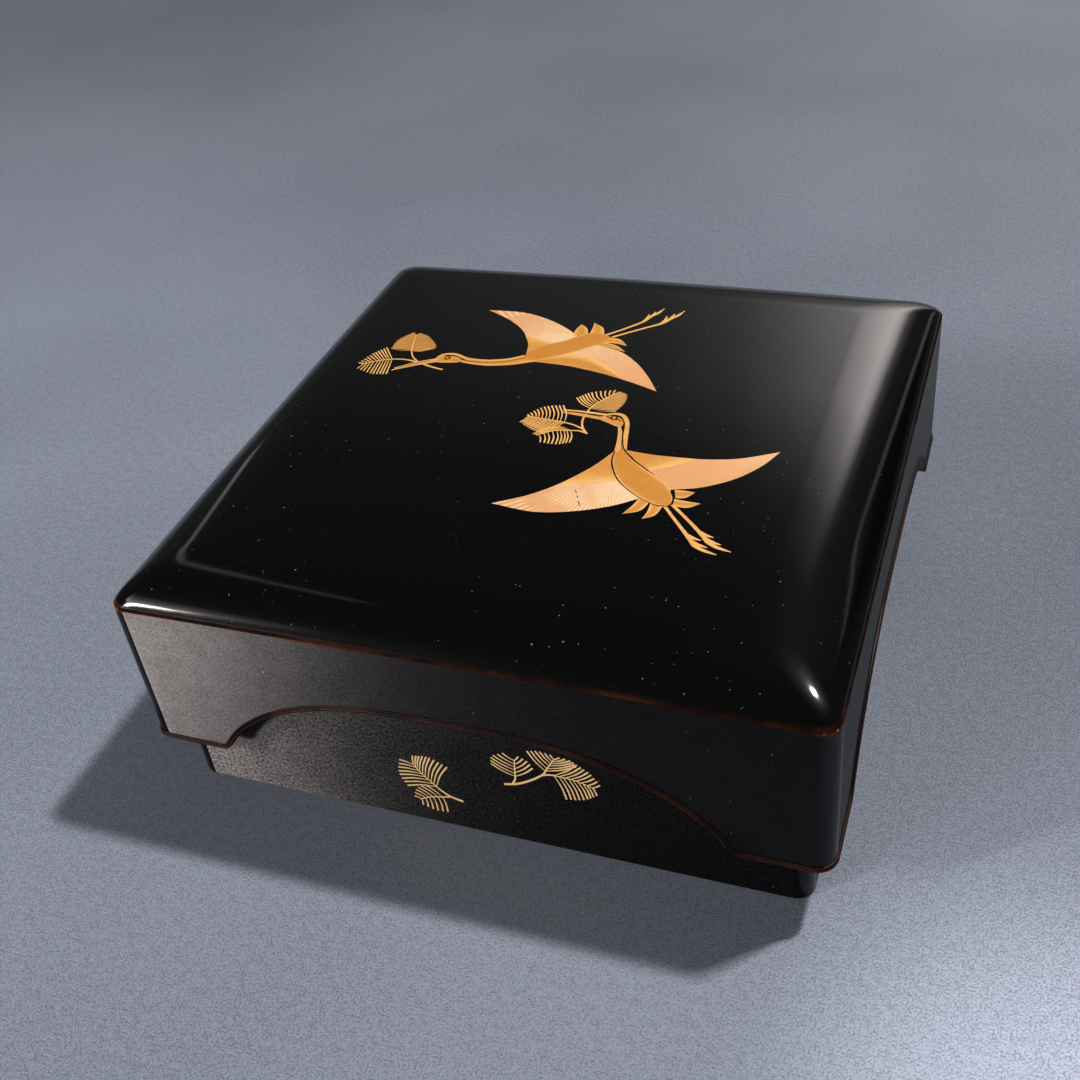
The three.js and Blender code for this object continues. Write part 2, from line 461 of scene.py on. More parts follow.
class Film:
    """A thin film drawn in millimetres on a surface, patch by patch, each a grid between two lines."""

    def __init__(self, name, surface, level):
        self.name, self.surface, self.level = name, surface, level
        self.points, self.faces, self.shades, self.fans = [], [], [], []

    def grid(self, rows, columns, vertex):
        """Adds a grid of points, as vertex gives them by row and column, and the faces between them."""
        first = len(self.points)
        for row in range(rows + 1):
            for column in range(columns + 1):
                flat, lift, shade, fan = vertex(row, column)
                self.points.append(self.surface(flat.x * MM, flat.y * MM, self.level + lift))
                self.shades.append(shade)
                self.fans.append(fan)
        for row in range(rows):
            for column in range(columns):
                corner = first + row * (columns + 1) + column
                self.faces.append((corner, corner + columns + 1, corner + columns + 2, corner + 1))

    def patch(self, one_side, other_side, shade, rows, columns, fan=(0, 0), lift=0):
        """A patch between two lines, in shades from deep to pale. Feathers spread from the point fan."""
        one_line, other_line = smooth_line(one_side, rows), smooth_line(other_side, rows)
        centre = Vector(fan)
        to_tip = (one_line[-1] - centre).normalized()

        def vertex(row, column):
            share = column / columns
            flat = one_line[row].lerp(other_line[row], share)
            arm = flat - centre
            turn = math.atan2(to_tip.cross(arm), to_tip.dot(arm))
            return flat, lift, shade(row / rows, share), (turn, arm.length)

        self.grid(rows, columns, vertex)

    def stroke(self, line, widths, shade=0.5, rows=14, lift=0):
        """A brush stroke along a line, a little higher and paler along its middle."""
        spine = smooth_line(line, rows)
        breadths = smooth_line([(width, 0) for width in widths], rows)

        def vertex(row, column):
            ahead = spine[min(row + 1, rows)] - spine[max(row - 1, 0)]
            square = Vector((-ahead.y, ahead.x)).normalized() * max(breadths[row].x, THINNEST_STROKE) / 2
            flat = spine[row] + square * (1 - column)
            ridge = column == 1
            return flat, lift + ridge * RIDGE_LIFT, shade + ridge * RIDGE_PALER, (0, flat.length)

        self.grid(rows, 2, vertex)

    def dot(self, centre, radius, inner=0, shade=0.5, lift=0):
        """A round dot, or a ring if an inner radius is given."""
        turns = [step / DOT_STEPS * math.tau for step in range(DOT_STEPS + 1)]
        outer, core = (
            [(centre[0] + size * math.cos(turn), centre[1] + size * math.sin(turn)) for turn in turns]
            for size in (radius, inner)
        )
        self.patch(outer, core, lambda u, v: shade, DOT_STEPS, 1, lift=lift)

    def lay(self):
        """Makes the film a closed thin piece, with its faces away from the surface."""
        mesh = bpy.data.meshes.new(self.name)
        mesh.from_pydata(self.points, [], self.faces)
        mesh.attributes.new(SHADE, "FLOAT", "POINT").data.foreach_set("value", self.shades)
        fans = mesh.uv_layers.new(name=FAN)
        for loop in mesh.loops:
            fans.data[loop.index].uv = self.fans[loop.vertex_index]
        piece = add_object(self.name, mesh)
        clear_selection()
        piece.select_set(True)
        bpy.context.view_layer.objects.active = piece
        bpy.ops.object.mode_set(mode="EDIT")
        bpy.ops.mesh.select_all(action="SELECT")
        bpy.ops.mesh.remove_doubles(threshold=0.0001 * MM)
        bpy.ops.object.mode_set(mode="OBJECT")
        self.face_outwards(mesh)
        thickness = piece.modifiers.new("thickness", "SOLIDIFY")
        thickness.thickness = self.level + FILM_SINK
        thickness.offset = -1
        bpy.ops.object.modifier_apply(modifier=thickness.name)
        bpy.ops.object.shade_smooth_by_angle(angle=FILM_CREASE)
        return piece

    def face_outwards(self, mesh):
        """Turns over the faces that look into the surface."""
        away = self.surface(0, BOX_HEIGHT / 2, MM) - self.surface(0, BOX_HEIGHT / 2, 0)
        sheet = bmesh.new()
        sheet.from_mesh(mesh)
        sheet.normal_update()
        turned = [face for face in sheet.faces if face.normal.dot(away) < 0]
        bmesh.ops.reverse_faces(sheet, faces=turned)
        sheet.to_mesh(mesh)
        sheet.free()


# How finely a spray's lines are divided, and how far along its axis the last needle grows
AXIS_STEPS = 40
TIP_STEPS = 60
LAST_NEEDLE = 0.92


def spray(film, axis, first_side, second_side, counts, widths, bend, shade):
    """A pine spray: curved blunt needles on both sides of its axis, out to a line of tips on each side."""
    spine = smooth_line(axis, AXIS_STEPS)
    film.stroke(axis, (0.36, 0.25), shade)
    for tips, count, width, sign in zip((first_side, second_side), counts, widths, (1, -1)):
        ends = smooth_line(tips, TIP_STEPS)
        for needle in range(count):
            share = needle / (count - 1)
            root = spine[round(AXIS_STEPS * share * LAST_NEEDLE)]
            end = ends[round(TIP_STEPS * share)]
            across = Vector((root.y - end.y, end.x - root.x)) * sign * bend
            line = (root, (root + end) / 2 + across, end)
            film.stroke(line, (width * 0.45, width * 0.85, width), shade, rows=7)


def by_rim(core, rim, power=3):
    """A shade that goes from core in the middle of a patch to rim along its two lines."""
    return lambda u, v: core + (rim - core) * abs(2 * v - 1) ** power


def towards_end(start, end, power=2):
    """A shade that goes from one value to another along a patch."""
    return lambda u, v: start + (end - start) * u**power


def tail_feathers(gold, feathers, rim):
    """Pointed tail feathers, each from its two sides and its tip."""
    for one, other, tip in feathers:
        gold.patch((*one, tip), (*other, tip), by_rim(0.2, rim, 2), *SMALL_GRID)


def crane_leg(gold, leg, toes, curl):
    """A leg with three toes that reach from its ankle, its foot and its heel."""
    gold.stroke(leg, (0.75, 0.7, 0.85, 0.9), 0.55)
    ankle, heel = Vector(leg[2]), Vector(leg[3])
    for start, toe in zip((ankle, ankle.lerp(heel, 0.55), heel), toes):
        tip = start + Vector(toe)
        gold.stroke((start, start.lerp(tip, 0.45) + Vector(curl), tip), (0.8, 0.85, 0.2), 0.6, rows=8)


def crane_eye(gold, ink, centre, ring, pupil):
    """A gold eye in a dark ring."""
    ink.dot(centre, ring, pupil)
    gold.dot(centre, pupil, shade=0.2, lift=EYE_LIFT)


def near_crane(gold, feathers, pearl, ink):
    """The lower crane, flying down to the right with its head turned back to the left."""
    # Wings in pearl, with their leading parts in gold
    left_lead = ((16.2, -12.3), (13.2, -18.8), (8.3, -25.8), (3, -30.9), (-3.5, -35))
    left_trail = ((26.5, -26.9), (21, -30.9), (14, -34.1), (6, -35.9), (-3.5, -35))
    right_lead = ((18.7, -11.5), (25, -12), (33, -11.7), (42, -9.8), (50.4, -5.4))
    right_trail = ((31.5, -23.1), (37.5, -20.9), (43.5, -16.6), (47.8, -11), (50.4, -5.4))
    feathers.patch(left_lead, left_trail, towards_end(0.75, 0.15, 1), *WING_GRID, fan=(17.5, -19))
    pearl.patch(right_lead, right_trail, towards_end(0.1, 0.45, 2), *WING_GRID, fan=(22, -15))
    left_inner = ((17, -13), (18.4, -18.5), (20.6, -22.2))
    right_inner = ((19.2, -12.3), (22, -15.2), (25.5, -18))
    gold.patch((*left_lead[:2], (8.3, -26)), left_inner, towards_end(0.3, 0.95, 5), *LEAD_GRID)
    gold.patch((*right_lead[:2], (34, -11.6)), right_inner, towards_end(0.25, 0.95, 5), *LEAD_GRID)
    for line in (
        ((8.8, -25.9), (14.6, -24.2), (20.4, -21.6)),
        ((10.4, -25), (15.2, -23.6), (19.8, -21)),
        ((33.6, -11.9), (29.8, -14.9), (25.6, -17.7)),
        ((31.6, -12.1), (28.4, -14.7), (24.8, -17.1)),
    ):
        gold.stroke(line, (0.2, 0.3, 0.25), 0.9, lift=RIDGE_LIFT)

    # Body, tail feathers and legs
    body_left = ((16.2, -11.8), (16.9, -16.5), (19.8, -22), (24.5, -26), (29.2, -28.4), (32.2, -28.4))
    body_right = ((18.6, -11.6), (21.2, -14.6), (25.3, -17.9), (29.5, -21), (32, -24), (32.9, -27.4))
    gold.patch(body_left, body_right, by_rim(0.12, 0.85, 7), *BODY_GRID, lift=BODY_LIFT)
    tail_feathers(gold, (
        (((32.3, -23), (34.3, -22.8)), ((33.2, -25.6), (35.2, -25)), (36.6, -22.9)),
        (((33, -25.9), (35.8, -26.1)), ((33.3, -28.2), (36.4, -28.1)), (38.6, -26.2)),
        (((26, -27.1), (25.3, -29.8)), ((28.4, -28.2), (27.3, -31.1)), (24.1, -32.8)),
        (((28.7, -28.4), (28.8, -31)), ((31.4, -28.8), (30.6, -31.9)), (28.3, -33.6)),
    ), 0.95)
    for leg in (
        ((31.6, -28.4), (34.8, -32.3), (38.2, -36.3), (40.5, -39.3)),
        ((33.1, -27.8), (36.7, -31.2), (40.4, -34.9), (43, -37.9)),
    ):
        crane_leg(gold, leg, ((3.3, -1.2), (3.7, -1.4), (4.9, -1.7)), (0, -0.25))

    # Neck, head and beak
    throat = ((16.9, -12.6), (16.1, -8.6), (15.3, -5.3), (14.5, -3.3))
    gold.stroke(throat, (1.5, 1.05, 0.95, 0.7), 0.45, rows=20)
    nape = ((18.1, -11.5), (17.1, -7.6), (16.4, -4.2), (15.7, -1.4), (14.3, 0.9), (12.4, 1.5), (10.3, 0.9))
    gold.stroke(nape, (1.1, 1.2, 1.15, 1.1, 1, 0.8, 0.4), 0.5, rows=34)
    brow = ((9.9, 0.45), (11.6, 0.75), (13.9, -0.1), (15.1, -1.9))
    cheek = ((9.6, -1.5), (11.8, -2.35), (13.6, -3.2), (15, -3.1))
    gold.patch(brow, cheek, by_rim(0.25, 0.6), *SMALL_GRID)
    gold.stroke(((10.6, 0.7), (5.2, 0.95), (0.1, 0.85)), (0.75, 0.7, 0.5), 0.6)
    gold.stroke(((10.6, -0.8), (5.2, -0.35), (0.4, -0.05)), (1.5, 1.1, 0.55), 0.35)
    crane_eye(gold, ink, (12.35, -0.15), 0.85, 0.5)
    ink.stroke(((10.2, 0.35), (11.1, -0.2), (11.7, -0.5)), (0.1, 0.28, 0.2), rows=8)
    ink.stroke(((12.9, -0.8), (13.6, -0.6), (14.4, -1.4)), (0.2, 0.26, 0.12), rows=8)

    # Dark lines left between the parts
    belly = ((16.25, -12.4), (16.9, -16.6), (19.9, -22.1), (24.6, -26.15), (29.3, -28.55), (32.3, -28.6))
    ink.stroke(belly, (0.2, 0.36, 0.24, 0.16, 0.16, 0.2), rows=44)
    ink.stroke(((17.2, -9.6), (18.3, -11.7), (21.3, -14.8), (25.4, -17.9)), (0.25, 0.32, 0.3, 0.25), rows=26)
    ink.stroke(((31.6, -23.5), (32.75, -25.8), (32.9, -28)), (0.2, 0.3, 0.2))
    neck = ((17.2, -9.6), (16.15, -6.2), (15.55, -3), (14.6, -0.7), (12.7, 0.75), (10.6, 0.25))
    ink.stroke(neck, (0.3, 0.3, 0.3, 0.26, 0.2, 0.12), rows=26)
    ink.stroke(((9.6, -0.35), (5, 0.3), (1.2, 0.4)), (0.16, 0.2, 0.1), rows=16)

    # A hairline crack in the pearl
    for crack in (
        ((12.3, -27.2), (12.9, -28.3)), ((13.2, -29), (13.7, -29.8)), ((14, -30.6), (14.9, -32.2)),
    ):
        ink.stroke(crack, (0.08, 0.16, 0.08), rows=6)


def far_crane(gold, feathers, pearl, ink):
    """The upper crane, flying to the left with its neck and legs stretched out."""
    # Wings in pearl, with their leading parts in gold
    upper_lead = ((-16.6, 21.6), (-18, 27.2), (-21.5, 33.3), (-26.8, 38.2), (-34.2, 42.6))
    upper_trail = ((-6.8, 32.8), (-11.5, 36.6), (-17.5, 40.2), (-25, 42.6), (-34.2, 42.6))
    lower_lead = ((-14.2, 19.7), (-6, 19.3), (3, 17.6), (11.5, 14.9), (18.6, 12.1))
    lower_trail = ((-1.5, 29.6), (5, 27.8), (10.5, 23.4), (15, 17.8), (18.6, 12.1))
    feathers.patch(upper_lead, upper_trail, towards_end(0.7, 0.2, 1), *WING_GRID, fan=(-9.5, 23))
    pearl.patch(lower_lead, lower_trail, towards_end(0.5, 0.1, 1), *WING_GRID, fan=(-8, 21))
    upper_inner = ((-15.4, 22.5), (-14.4, 26.6), (-12.4, 29))
    gold.patch((*upper_lead[:2], (-20.4, 31.7)), upper_inner, towards_end(0.3, 0.85, 3), *LEAD_GRID)
    lens = ((-14.2, 19.9), (-8.5, 22.4), (-3.5, 22.9), (2.5, 20.2), (9.5, 15.7))
    lens_edge = ((-12, 21.8), (-7, 24.9), (-1.5, 24.3), (4.2, 20.8), (9.5, 15.8))
    gold.patch((*lower_lead[:2], (2, 17.9), (9.5, 15.6)), lens, by_rim(0.22, 0.45), *LEAD_GRID)
    gold.patch(lens, lens_edge, lambda u, v: 0.62 + 0.3 * v, rows=30, columns=4)

    # Body, tail feathers and legs
    back = ((-16.7, 21.3), (-16.6, 24.8), (-14, 27.6), (-10, 30.2), (-7.2, 33.2), (-5, 34.9), (-1, 35.3))
    belly = ((-14.6, 19.8), (-11.5, 21.4), (-8.3, 23.6), (-5.4, 25.8), (-2.2, 28.8), (0.3, 31), (1.2, 33.6))
    gold.patch(back, belly, by_rim(0.04, 0.6, 7), *BODY_GRID, lift=BODY_LIFT)
    tail_feathers(gold, (
        (((-8.4, 33), (-8.7, 36)), ((-5, 34.2), (-6, 37)), (-8.1, 39)),
        (((-4.7, 34.4), (-4.8, 37.4)), ((-1, 35), (-2.4, 38.2)), (-5.2, 40.1)),
        (((0.5, 33.6), (3.6, 33.2)), ((0.3, 30.9), (3, 31.2)), (6.1, 30.5)),
        (((0.1, 31.1), (3.6, 30.2)), ((-1.2, 29.4), (2.6, 28.9)), (6.5, 27.8)),
    ), 0.85)
    for leg in (
        ((-0.6, 34.6), (3.1, 38.4), (6.6, 42.6), (7.6, 45.4)),
        ((1.3, 33.9), (6.2, 38.2), (11.2, 42.4), (12.8, 45)),
    ):
        crane_leg(gold, leg, ((0.4, 4), (1.1, 4), (2.4, 4.7)), (0.35, 0))

    # Neck, head and beak
    gold.stroke(((-15.5, 21.1), (-20, 18.8), (-25.2, 17.5), (-31, 17.7)), (1.6, 1.3, 1.2, 1), 0.1, rows=24)
    gold.stroke(((-14, 20.4), (-19, 17.9), (-25, 16.6), (-31.2, 17)), (1.6, 1.15, 1.05, 0.9), 0.45, rows=24)
    nape = ((-16.9, 21.9), (-20.6, 19.6), (-25.5, 18.3), (-30.5, 18.5), (-34.2, 20), (-37, 19.6), (-38.4, 18))
    gold.stroke(nape, (0.9, 1, 1, 1, 0.95, 0.85, 0.5), 0.5, rows=34)
    brow = ((-38.6, 17.6), (-36.8, 19), (-33.6, 18.9), (-31, 17.7))
    cheek = ((-38.6, 15.9), (-36.2, 15.8), (-33.4, 16.2), (-31, 16.9))
    gold.patch(brow, cheek, by_rim(0.25, 0.6), *SMALL_GRID)
    gold.stroke(((-37.6, 17.4), (-42.5, 14.9), (-47, 11.6)), (0.8, 0.75, 0.5), 0.6)
    gold.stroke(((-37.6, 16.5), (-42.6, 13.8), (-47.3, 10.7)), (1.2, 0.95, 0.5), 0.4)
    crane_eye(gold, ink, (-35.6, 18), 0.8, 0.45)

    # Dark lines left between the parts
    neck = ((-16.6, 21), (-21, 18.6), (-26, 17.4), (-30.8, 17.6), (-33.6, 19.1), (-36.6, 18.9))
    ink.stroke(neck, (0.16, 0.14, 0.14, 0.2, 0.28, 0.15), rows=30)
    ink.stroke(((-39.4, 16.4), (-43, 14.2), (-46.2, 11.9)), (0.14, 0.18, 0.1))


# Widths of a twig and of needles: open, on the box's front, and close over a ground that nearly fills them
TWIG = (0.5, 0.45, 0.4)
NEEDLE = 0.41
FRONT_NEEDLE = 0.42
CLOSE_NEEDLE = 0.15
NEARLY_FILLED = 0.9


def lid_sprigs(gold, ground):
    """The pine sprigs that the two cranes carry in their beaks."""
    for line, widths in (
        (((5.9, 2.6), (5.6, -0.5), (5.9, -3.2), (6.9, -5.6), (8.4, -7.3)), (0.4, 0.5, 0.5, 0.6, 0.5)),
        (((6.9, -5.6), (4.4, -4.5), (2, -3.9)), TWIG),
        (((8.2, -7.1), (6.4, -6.5), (4.4, -6.7)), TWIG),
        (((-34.6, 12.7), (-38.4, 13.7), (-42, 15), (-46, 15.9), (-49.4, 15.6)), (0.5, 0.6, 0.55, 0.5, 0.4)),
        (((-42, 15), (-44.6, 17.4), (-46.2, 20.2)), TWIG),
    ):
        gold.stroke(line, widths, 0.6)
    # Each spray: its axis, the tips on both sides, needles on each, how far the ground fills it, and its bend
    sprays = (
        (((5.9, 2.6), (7.2, 5.6), (9.6, 9.6)), ((1.5, 6.2), (4.2, 9), (9.3, 10.9)),
         ((12, 2.3), (13, 6), (12.5, 9.4), (10.3, 10.5)), (11, 16), (0, 0.97), 0.08),
        (((2, -3.9), (-3.1, -3.4), (-7.1, -3)), ((-1.9, -8.9), (-5, -7.6), (-8, -5.6)),
         ((-0.5, 2.6), (-4.6, 1.3), (-7.4, -2.4)), (11, 11), (0.8, 0), 0.08),
        (((4.4, -6.7), (1, -7.4), (-2.6, -9.9)), ((5.6, -11.2), (2.8, -12.4), (-0.8, -12.3)),
         ((0.8, -5.6), (-2, -6.9), (-3.6, -9.4)), (9, 10), (0, 0.97), 0.08),
        (((-46.2, 20.2), (-47.3, 23.8), (-48.3, 27.9)), ((-52, 20.6), (-52, 25), (-49.5, 28.9)),
         ((-43.4, 20.2), (-40.4, 22.6), (-44.2, 27.2), (-47.6, 28.8)), (13, 15), (0.95, 0.95), 0.08),
        (((-49.4, 15.6), (-52.7, 14.4), (-56.2, 12.2)), ((-47.9, 8.8), (-51.7, 8.4), (-56.4, 10.2)),
         ((-53.3, 20.7), (-55.6, 17.4), (-57.3, 12.9)), (10, 11), (0, 0), 0),
    )
    for axis, first_side, second_side, counts, filled, bend in sprays:
        widths = [CLOSE_NEEDLE if reach > NEARLY_FILLED else NEEDLE for reach in filled]
        spray(gold, axis, first_side, second_side, counts, widths, bend, shade=0.75)
        for side, reach in zip((first_side, second_side), filled):
            if reach:
                roots, tips = smooth_line(axis, 8), smooth_line(side, 8)
                ends = [root.lerp(tip, reach) for root, tip in zip(roots, tips)]
                ground.patch(axis, ends, lambda u, v: 0.5, rows=16, columns=4)


def front_sprigs(gold):
    """The loose pine sprigs on the front of the box."""
    for line, widths in (
        (((-3.2, 8.8), (-6, 9.6), (-8, 11), (-8.9, 11.9)), (0.7, 0.6, 0.5, 0.4)),
        (((-6, 9.5), (-7, 9.2), (-8, 8.9)), TWIG),
        (((7.2, 17.3), (10.2, 18.2), (13.4, 20.2), (16.2, 22.6), (16.9, 23.9)), (0.6, 0.6, 0.55, 0.5, 0.4)),
        (((9.2, 18.1), (9.8, 19.3), (10, 20.4)), TWIG),
        (((15.9, 22.3), (17.3, 22.9), (18.6, 23.1)), TWIG),
    ):
        gold.stroke(line, widths, 0.7)
    sprays = (
        (((-8.9, 11.9), (-11.6, 15), (-13.5, 18)), ((-5.4, 19), (-9.4, 20.9), (-13, 20.4)),
         ((-16, 10.3), (-17.3, 14), (-16.5, 18.3)), (10, 8)),
        (((-8, 8.9), (-11, 8), (-13.6, 6.6)), ((-7.5, 4.2), (-10.4, 4), (-13.2, 4.9)),
         ((-11.6, 11.8), (-13.9, 10), (-14.9, 7.3)), (6, 6)),
        (((10, 20.4), (10.2, 23), (10.4, 25.6)), ((5, 22.9), (5.4, 25.2), (8, 26.8)),
         ((14.2, 24), (13.2, 25.8), (11.4, 26.7)), (6, 5)),
        (((16.9, 23.9), (18.2, 26.3), (19.3, 28.2)), ((13.5, 28.9), (15.8, 29.4), (18.4, 29.1)),
         ((23.6, 27), (23, 28.3), (20.4, 28.8)), (6, 6)),
        (((18.6, 23.1), (23, 22.8), (27.2, 21.4)), ((20.7, 16.5), (24.5, 17.4), (27.4, 19.5)),
         ((23.9, 27.6), (26.4, 25.8), (28.3, 22.9)), (9, 8)),
    )
    for axis, first_side, second_side, counts in sprays:
        spray(gold, axis, first_side, second_side, counts, (FRONT_NEEDLE, FRONT_NEEDLE), bend=0.05, shade=0.7)


# Materials

class Value:
    """A socket of a node tree. Arithmetic on it adds Math nodes."""

    def __init__(self, paint, socket):
        self.paint, self.socket = paint, socket

    def math(self, operation, *others, first=None):
        values = [self if first is None else first, *others]
        return self.paint.node("Math", {"operation": operation}, dict(enumerate(values)))

    def __add__(self, other):
        return self.math("ADD", other)

    def __sub__(self, other):
        return self.math("SUBTRACT", other)

    def __mul__(self, other):
        return self.math("MULTIPLY", other)

    def __rsub__(self, other):
        return self.math("SUBTRACT", self, first=other)

    def __lt__(self, other):
        return self.math("LESS_THAN", other)

    def __gt__(self, other):
        return self.math("GREATER_THAN", other)

    __radd__ = __add__
    __rmul__ = __mul__

    def between(self, low, high):
        """0 below low, 1 above high, and smooth in between."""
        settings = {"interpolation_type": "SMOOTHSTEP"}
        return self.paint.node("MapRange", settings, {"Value": self, "From Min": low, "From Max": high})


class Paint:
    """The node tree of a material or of the world, built node by node."""

    def __init__(self, owner):
        owner.use_nodes = True
        self.owner, self.tree = owner, owner.node_tree
        self.tree.nodes.clear()

    def node(self, kind, settings=None, inputs=None, output=0):
        """Adds a node, sets it, joins or fills its sockets, and returns one of its outputs."""
        made = self.tree.nodes.new("ShaderNode" + kind)
        for name, value in (settings or {}).items():
            if name == "stops":
                while len(made.color_ramp.elements) < len(value):
                    made.color_ramp.elements.new(1)
                for element, (position, colour) in zip(made.color_ramp.elements, value):
                    element.position, element.color = position, (*colour, 1)
            else:
                setattr(made, name, value)
        for name, value in (inputs or {}).items():
            if isinstance(value, Value):
                self.tree.links.new(value.socket, made.inputs[name])
            else:
                made.inputs[name].default_value = value
        return Value(self, made.outputs[output]) if len(made.outputs) else None

    def attribute(self, name):
        return self.node("Attribute", {"attribute_name": name}, output="Fac")

    def part(self, vector, axis):
        """One of a vector's three numbers."""
        return self.node("SeparateXYZ", {}, {0: vector}, output=axis)

    def mix(self, share, one, other):
        """A colour between two others, by the node's own sockets for colours."""
        colours = [colour if isinstance(colour, Value) else (*colour, 1) for colour in (one, other)]
        return self.node("Mix", {"data_type": "RGBA"}, {0: share, 6: colours[0], 7: colours[1]}, output=2)

    def scaled(self, vector, scale):
        return self.node("VectorMath", {"operation": "SCALE"}, {0: vector, "Scale": scale})

    def noise(self, where, scale, detail, roughness):
        inputs = {"Vector": where, "Scale": scale, "Detail": detail, "Roughness": roughness}
        return self.node("TexNoise", {}, inputs)

    def specks(self, where, scale, size, share):
        """1 on small round specks in a share of the cells of a grid of that scale."""
        flat = {"voronoi_dimensions": "2D"}
        inputs = {"Vector": where, "Scale": scale, "Randomness": 1.0}
        distance = self.node("TexVoronoi", flat, inputs)
        chance = self.node("SeparateColor", {}, {0: self.node("TexVoronoi", flat, inputs, output="Color")})
        reach = (chance - (1 - share)) * (size * scale / share)
        return distance < reach

    def finish(self, shader):
        """Ends the tree in a shader, and gives back its material."""
        self.node("OutputMaterial", {}, {0: shader})
        return self.owner

    def surface(self, inputs):
        return self.finish(self.node("BsdfPrincipled", {}, inputs))


def new_paint(name):
    """The tree of a new material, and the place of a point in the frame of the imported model."""
    paint = Paint(bpy.data.materials.new(name))
    return paint, paint.node("TexCoord", output="Object")


BLACK_LACQUER = (0.0016, 0.0013, 0.0012)
WORN_BROWN = (0.084, 0.027, 0.014)
# Amber of painted highlights: glints on the lid's worn corners, put into the colour
PAINTED_GLINT_AMBER = (0.50, 0.180, 0.050)
DUST_GREY = (0.16, 0.15, 0.14)
RUBBED_GRAIN = (0.055, 0.0525, 0.0525)
GRAIN_LEAN = 0.44
HAZE_GREY = (0.0070, 0.0060, 0.0055)
LACQUER_IOR = 1.47


def edge_wear(paint, where, colour):
    """The colour, turned brown where it is rubbed thin and given painted amber highlights at the worn
    corners, and how far it is rubbed.
    """
    worn = paint.attribute(WORN)
    patchy = paint.noise(where, 60, 3, 0.65)
    fine = paint.noise(where, 1300, 2, 0.6)
    rubbed = worn * (0.22 + patchy.between(0.40, 0.62) * 0.78) * (0.4 + fine * 1.1)
    colour = paint.mix(rubbed.math("MINIMUM", 1.0), colour, WORN_BROWN)
    # Painted highlights: amber glints put into the colour where the corners are most worn
    painted_glint = (worn > 1.25) * (patchy * fine).between(0.21, 0.28)
    return paint.mix(painted_glint, colour, PAINTED_GLINT_AMBER), worn


def on_walls(paint, where):
    """Coordinates rolled out along the upright walls, along and up, and the height alone."""
    x, y, height = (paint.part(where, axis) for axis in range(3))
    return paint.node("CombineXYZ", {}, {0: x + y, 1: height}), height


def polished_lacquer():
    """Polished black lacquer, brown where it is rubbed thin with painted amber highlights at the lid's
    corners, with a little dust and fine wiping marks.
    """
    paint, where = new_paint("lid_lacquer_polished")
    dust = paint.specks(where, 170, 0.22 * MM, 0.18)
    grit = paint.specks(where, 380, 0.15 * MM, 0.26)
    settled = paint.noise(where, 17, 2, 0.6).between(0.38, 0.56)
    wiped = paint.node("VectorMath", {"operation": "MULTIPLY"}, {0: where, 1: (60, 900, 60)})
    marks = paint.noise(wiped, 1.0, 3, 0.6).between(0.62, 0.75)
    cloudy = paint.noise(where, 26, 4, 0.55)
    colour, worn = edge_wear(paint, where, BLACK_LACQUER)
    waves = paint.noise(where, 55, 1, 0.4)
    return paint.surface({
        "Base Color": paint.mix(dust.math("MAXIMUM", grit) * settled, colour, DUST_GREY),
        "Roughness": 0.05 + marks * 0.05 + cloudy * 0.05 + dust * 0.5 + worn * 0.3,
        "Coat Weight": 0.05 + cloudy * 0.10,
        "Coat Roughness": 0.34,
        "Coat IOR": LACQUER_IOR,
        "IOR": LACQUER_IOR,
        "Normal": paint.node("Bump", {}, {"Strength": 0.10, "Distance": 0.00035, "Height": waves}),
    })


def wall_lacquer(name, speckle_depth, roughness):
    """Lacquer on the upright walls: a thin clear coat over a fine rubbed grain that leans back a little."""
    paint, where = new_paint(name)
    wall, height = on_walls(paint, where)
    haze = paint.noise(where, 30, 4, 0.6)
    speckle = paint.noise(wall, 1500, 2, 0.8)
    scuffs = paint.noise(wall, 160, 4, 0.7)
    grain = 1.0 + (speckle - 0.5) * speckle_depth + (scuffs - 0.5) * 0.7 + (haze - 0.5) * 0.5
    dust = paint.specks(wall, 260, 0.2 * MM, 0.12)
    rubbed = paint.scaled(RUBBED_GRAIN, grain.math("MAXIMUM", 0.1))
    lean = {"Strength": 1.0, "Distance": 1.0, "Height": height * -GRAIN_LEAN}
    return paint.surface({
        "Base Color": paint.mix(dust, edge_wear(paint, where, rubbed)[0], DUST_GREY),
        "Normal": paint.node("Bump", {}, lean),
        "Metallic": 1.0 - dust,
        "Roughness": roughness + (speckle - 0.5) * 0.1,
        "Anisotropic": 1.0,
        "Anisotropic Rotation": 0.25,
        "Coat Weight": 0.34 - haze * 0.16,
        "Coat Roughness": 0.05,
        "Coat IOR": LACQUER_IOR,
    })


def handled_lacquer(name, shine, roughness):
    """Handled black lacquer on edges and upright corners, brown where it is rubbed thin, with painted amber
    highlights at the lid's corners.
    """
    paint, where = new_paint(name)
    cloudy = paint.noise(where, 45, 4, 0.6)
    colour, worn = edge_wear(paint, where, BLACK_LACQUER)
    return paint.surface({
        "Base Color": colour,
        "Roughness": roughness + cloudy * 0.1 + worn * 0.25,
        "IOR": LACQUER_IOR,
        "Specular IOR Level": shine,
    })


def inside_lacquer():
    """Plain black lacquer of the insides and the underside, softer than outside."""
    paint, where = new_paint("inside_lacquer_soft")
    cloudy = paint.noise(where, 40, 4, 0.6)
    dust = paint.specks(where, 300, 0.2 * MM, 0.12)
    colour = paint.mix(cloudy.between(0.3, 0.8), BLACK_LACQUER, HAZE_GREY)
    return paint.surface({
        "Base Color": paint.mix(dust, colour, DUST_GREY),
        "Roughness": 0.22 + cloudy * 0.16,
        "IOR": LACQUER_IOR,
    })


